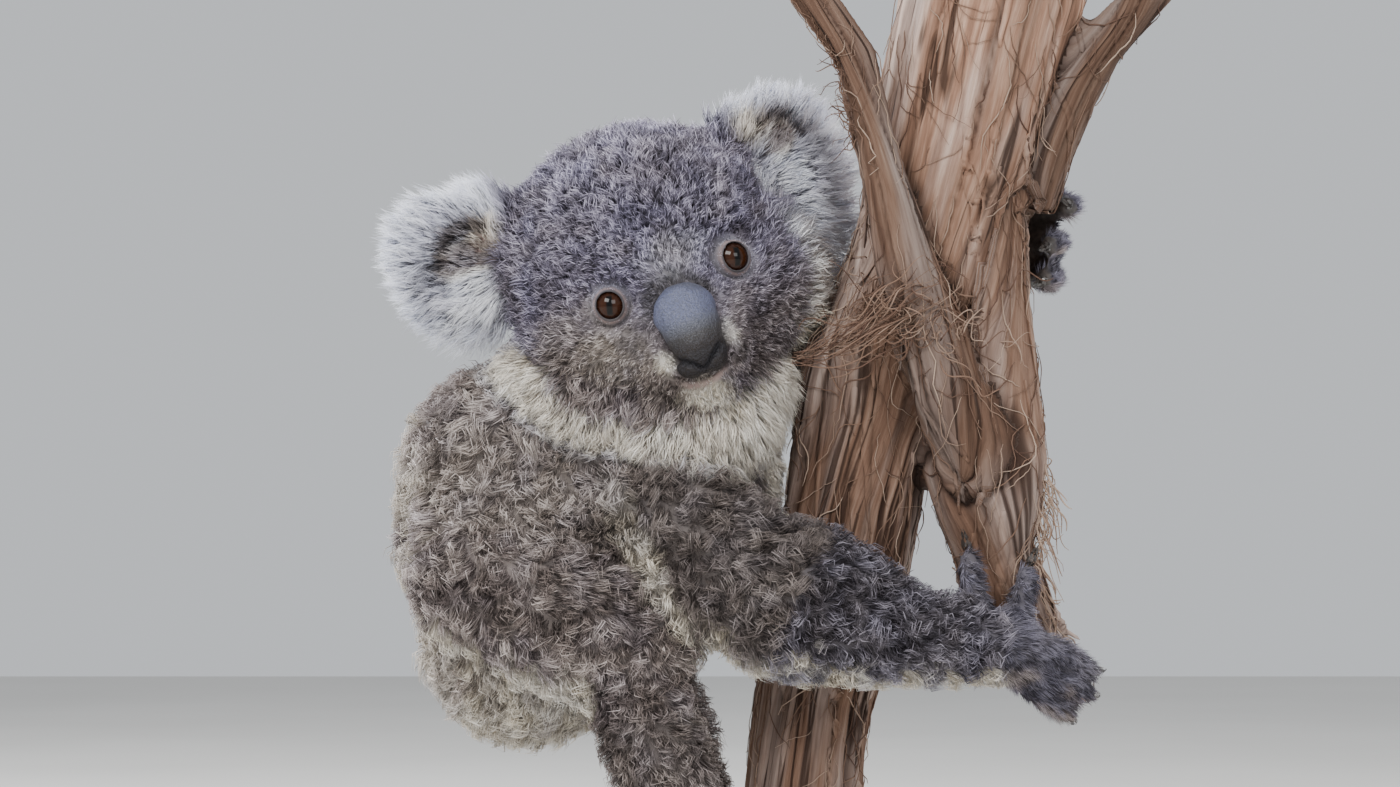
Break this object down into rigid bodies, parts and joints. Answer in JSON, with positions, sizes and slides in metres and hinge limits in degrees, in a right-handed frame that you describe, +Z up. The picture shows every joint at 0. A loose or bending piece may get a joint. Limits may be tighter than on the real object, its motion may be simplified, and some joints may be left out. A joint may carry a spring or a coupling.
{
  "type": "koala display model",
  "caption": "Life-size model of a young koala clinging to a cut length of forked tree, on a plain display stand.",
  "frame": {"origin": "middle of the flat underside of the stand's base", "axes": "+Z up, +X the way the koala's body faces, towards the tree, and -Y the side that its face looks to"},
  "size_m": [0.3424, 0.23, 0.496],
  "materials": {
    "fur": "thick woolly fur, grizzled grey-brown, cream below",
    "nose_leather": "fine-grained, half matt",
    "eye": "wet gloss",
    "claw_horn": "satin",
    "bark": "rough, stringy",
    "stand_board": "satin painted board",
    "stand_steel": "brushed"
  },
  "bodies": {
    "root": {"head": "fur", "ear_left": "fur", "ear_right": "fur", "neck": "fur", "torso": "fur", "upper_arm_left": "fur", "upper_arm_right": "fur", "forearm_left": "fur", "forearm_right": "fur", "thigh_left": "fur", "thigh_right": "fur", "shank_left": "fur", "shank_right": "fur", "hand_left": "fur", "hand_right": "fur", "foot_left": "fur", "foot_right": "fur", "claw_hand_left_1": "claw_horn", "claw_hand_left_2": "claw_horn", "claw_hand_left_3": "claw_horn", "claw_hand_left_4": "claw_horn", "claw_hand_left_5": "claw_horn", "claw_hand_right_1": "claw_horn", "claw_hand_right_2": "claw_horn", "claw_hand_right_3": "claw_horn", "claw_hand_right_4": "claw_horn", "claw_hand_right_5": "claw_horn", "claw_foot_left_2": "claw_horn", "claw_foot_left_3": "claw_horn", "claw_foot_left_4": "claw_horn", "claw_foot_left_5": "claw_horn", "claw_foot_right_2": "claw_horn", "claw_foot_right_3": "claw_horn", "claw_foot_right_4": "claw_horn", "claw_foot_right_5": "claw_horn", "nose": "nose_leather", "eye_left": "eye", "eye_right": "eye", "perch_trunk": "bark", "perch_stem": "bark", "perch_shoot": "bark", "perch_branch": "bark", "stand_base": "stand_board", "stand_rod_left": "stand_steel", "stand_rod_right": "stand_steel"}
  },
  "joints": []
}
